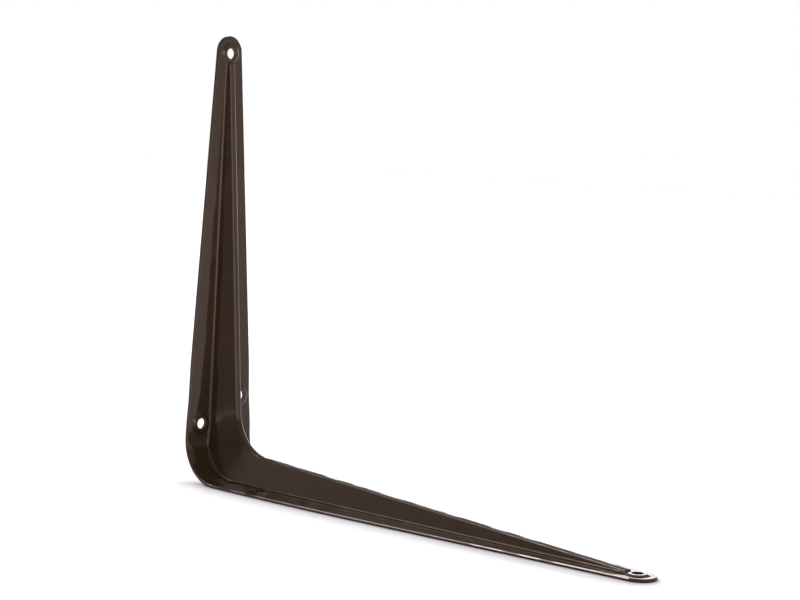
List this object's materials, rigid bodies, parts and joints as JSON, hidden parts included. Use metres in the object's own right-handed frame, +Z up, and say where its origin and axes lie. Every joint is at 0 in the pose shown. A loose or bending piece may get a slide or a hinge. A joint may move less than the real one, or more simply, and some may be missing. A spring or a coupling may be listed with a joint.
{
  "type": "shelf bracket",
  "caption": "Pressed sheet-steel shelf bracket: tapered arms at a right angle, stiffened by a hollow rib round the inside corner, with screw holes on low raised bosses.",
  "frame": {"origin": "on the long arm's outside plane, under the middle of that arm's length and width", "axes": "+X along the long arm to its tip, +Y across the arms, +Z up along the short arm to its tip"},
  "size_m": [0.25, 0.0374, 0.2],
  "materials": {
    "brown_enamel": "gloss dark brown enamel"
  },
  "bodies": {
    "root": {"pressed_bracket": "brown_enamel"}
  },
  "joints": []
}
